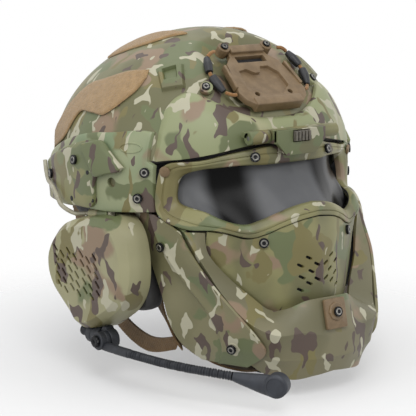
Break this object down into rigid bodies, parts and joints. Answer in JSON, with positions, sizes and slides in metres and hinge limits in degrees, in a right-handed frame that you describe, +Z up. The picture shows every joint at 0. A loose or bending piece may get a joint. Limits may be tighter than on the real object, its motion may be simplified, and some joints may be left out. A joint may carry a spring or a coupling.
{
  "type": "airsoft helmet",
  "caption": "Full-face sport helmet with a flip-up mask and smoked lens, rail covers, brow shroud, ear cups, boom microphone and padded liner",
  "frame": {"origin": "the middle of the head opening at the height of the brow, where the wearer's head is held", "axes": "+Z up, the face looks along -Y, the wearer's right side is at -X, millimetres in the source and metres here"},
  "size_m": [0.2812, 0.3433, 0.2825],
  "materials": {
    "shell_camo": "satin camouflage film on a moulded shell",
    "cover_camo": "satin camouflage film on moulded covers",
    "rail_olive": "satin camouflage film",
    "black_screws": "black oxide screws",
    "tan_hardware": "tan painted casting",
    "black_plastic": "moulded black nylon",
    "tan_cord": "braided elastic cord",
    "loop_fabric": "brushed loop fabric",
    "foam": "black foam covered with knit",
    "band_plastic": "moulded plastic",
    "webbing": "woven nylon webbing",
    "hinge_olive": "satin camouflage film",
    "steel": "turned steel pin",
    "wire": "light grey coated wire",
    "mask_camo": "satin camouflage film on moulded plastic",
    "smoke_lens": "dark smoked polycarbonate, glossy",
    "gasket_rubber": "matt rubber",
    "button_black": "moulded plastic",
    "cup_camo": "satin camouflage film",
    "seal_leather": "black leatherette over foam",
    "speaker_black": "moulded plastic with a cloth front",
    "boom_rubber": "ribbed rubber sleeve on a bendable core",
    "mic_plastic": "moulded dark grey plastic"
  },
  "bodies": {
    "helmet": {"shell": "shell_camo", "brow_cover": "cover_camo", "side_cover_r": "cover_camo", "side_cover_l": "cover_camo", "rail_cap_r": "rail_olive", "rail_cap_l": "rail_olive", "side_screws": "black_screws", "shroud_base": "cover_camo", "shroud": "tan_hardware", "shroud_screws": "black_screws", "bungee_clips": "black_plastic", "bungee_cords": "tan_cord", "loop_top_r": "loop_fabric", "loop_top_l": "loop_fabric", "loop_side_r": "loop_fabric", "loop_side_l": "loop_fabric", "loop_rear": "loop_fabric", "pad_front": "foam", "pad_crown": "foam", "pad_rear": "foam", "pad_side_r": "foam", "pad_side_l": "foam", "fit_band": "band_plastic", "nape_pad": "foam", "dial_housing": "band_plastic", "chin_strap_r": "webbing", "chin_strap_l": "webbing", "strap_buckle": "black_plastic", "hinge_bracket": "hinge_olive", "hinge_pin": "steel", "arm_r": "wire", "arm_l": "wire"},
    "face_mask": {"mask_frame": "mask_camo", "lens": "smoke_lens", "lens_gasket": "gasket_rubber", "face_plate": "mask_camo", "chin_guard": "mask_camo", "cheek_plate_r": "mask_camo", "cheek_plate_l": "mask_camo", "cheek_pad_r": "foam", "cheek_pad_l": "foam", "chin_clip": "tan_hardware", "mask_screws": "black_screws", "latch_housing": "hinge_olive"},
    "release_button": {"latch_button": "button_black"},
    "right_ear_cup": {"ear_cup_r": "cup_camo", "ear_seal_r": "seal_leather", "speaker_r": "speaker_black", "boom_base": "black_plastic"},
    "left_ear_cup": {"ear_cup_l": "cup_camo", "ear_seal_l": "seal_leather", "speaker_l": "speaker_black"},
    "microphone_boom": {"boom": "boom_rubber", "mic_pod": "mic_plastic"},
    "fit_dial": {"fit_dial": "band_plastic"}
  },
  "joints": [
    {"name": "mask_flip", "type": "hinge", "parent": "helmet", "child": "face_mask", "pos_m": [0, -0.131, 0.033], "axis": [-1, 0, 0], "range_deg": [0, 95]},
    {"name": "button_press", "type": "slide", "parent": "face_mask", "child": "release_button", "axis": [0, 1, 0], "range_m": [0, 0.0012], "stiffness_N_per_m": 300, "springref_m": -0.002},
    {"name": "right_cup_swing", "type": "hinge", "parent": "helmet", "child": "right_ear_cup", "pos_m": [-0.118, -0.03, -0.0342], "axis": [0, 0.9903, -0.1392], "range_deg": [0, 18]},
    {"name": "left_cup_swing", "type": "hinge", "parent": "helmet", "child": "left_ear_cup", "pos_m": [0.118, -0.03, -0.0342], "axis": [0, -0.9903, 0.1392], "range_deg": [0, 18]},
    {"name": "boom_pivot", "type": "hinge", "parent": "right_ear_cup", "child": "microphone_boom", "pos_m": [-0.122, -0.047, -0.1354], "axis": [1, 0, 0], "range_deg": [0, 60]},
    {"name": "dial_turn", "type": "hinge", "parent": "helmet", "child": "fit_dial", "pos_m": [0, 0.11, -0.024], "axis": [0, 1, 0], "continuous": true}
  ]
}
